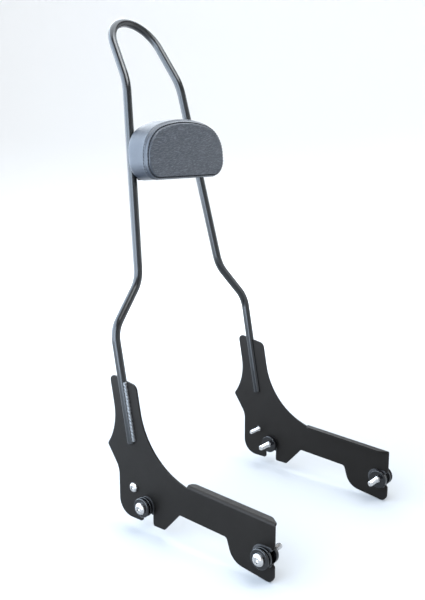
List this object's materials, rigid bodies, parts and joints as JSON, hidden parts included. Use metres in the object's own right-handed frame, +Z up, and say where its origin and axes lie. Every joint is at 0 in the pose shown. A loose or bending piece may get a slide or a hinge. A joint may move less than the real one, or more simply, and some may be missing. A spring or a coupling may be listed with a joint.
{
  "type": "sissy bar",
  "caption": "Bent round-bar sissy bar welded into folded side plates with slotted docking points, carrying an upholstered passenger back pad.",
  "frame": {"origin": "midway between the rear docking axes of the right and left side plates", "axes": "+X towards the rider's left, +Y rearwards, +Z up; the pad faces -Y"},
  "size_m": [0.3414, 0.3994, 0.7241],
  "materials": {
    "bar_black": "satin",
    "plate_black": "matte",
    "weld_black": "satin",
    "spool_black": "gloss",
    "bolt_silver": "satin",
    "zinc_steel": "satin",
    "liner_black": "matte",
    "pad_leather": "satin",
    "board_ply": "matte"
  },
  "bodies": {
    "root": {"hoop_bar": "bar_black", "right_side_plate": "plate_black", "left_side_plate": "plate_black", "right_weld_bead": "weld_black", "left_weld_bead": "weld_black", "pad_mount_plate": "plate_black", "mount_plate_welds": "weld_black", "pad_cushion": "pad_leather", "pad_base_board": "board_ply", "pad_tee_nuts": "zinc_steel", "pad_washers": "zinc_steel", "pad_screws": "zinc_steel", "right_rear_docking_spool": "spool_black", "right_front_docking_spool": "spool_black", "left_rear_docking_spool": "spool_black", "left_front_docking_spool": "spool_black", "right_rear_docking_bolt": "bolt_silver", "right_front_docking_bolt": "bolt_silver", "left_rear_docking_bolt": "bolt_silver", "left_front_docking_bolt": "bolt_silver", "right_rear_slot_liner": "liner_black", "right_front_slot_liner": "liner_black", "left_rear_slot_liner": "liner_black", "left_front_slot_liner": "liner_black", "right_lock_screw": "bolt_silver", "left_lock_screw": "bolt_silver"}
  },
  "joints": []
}
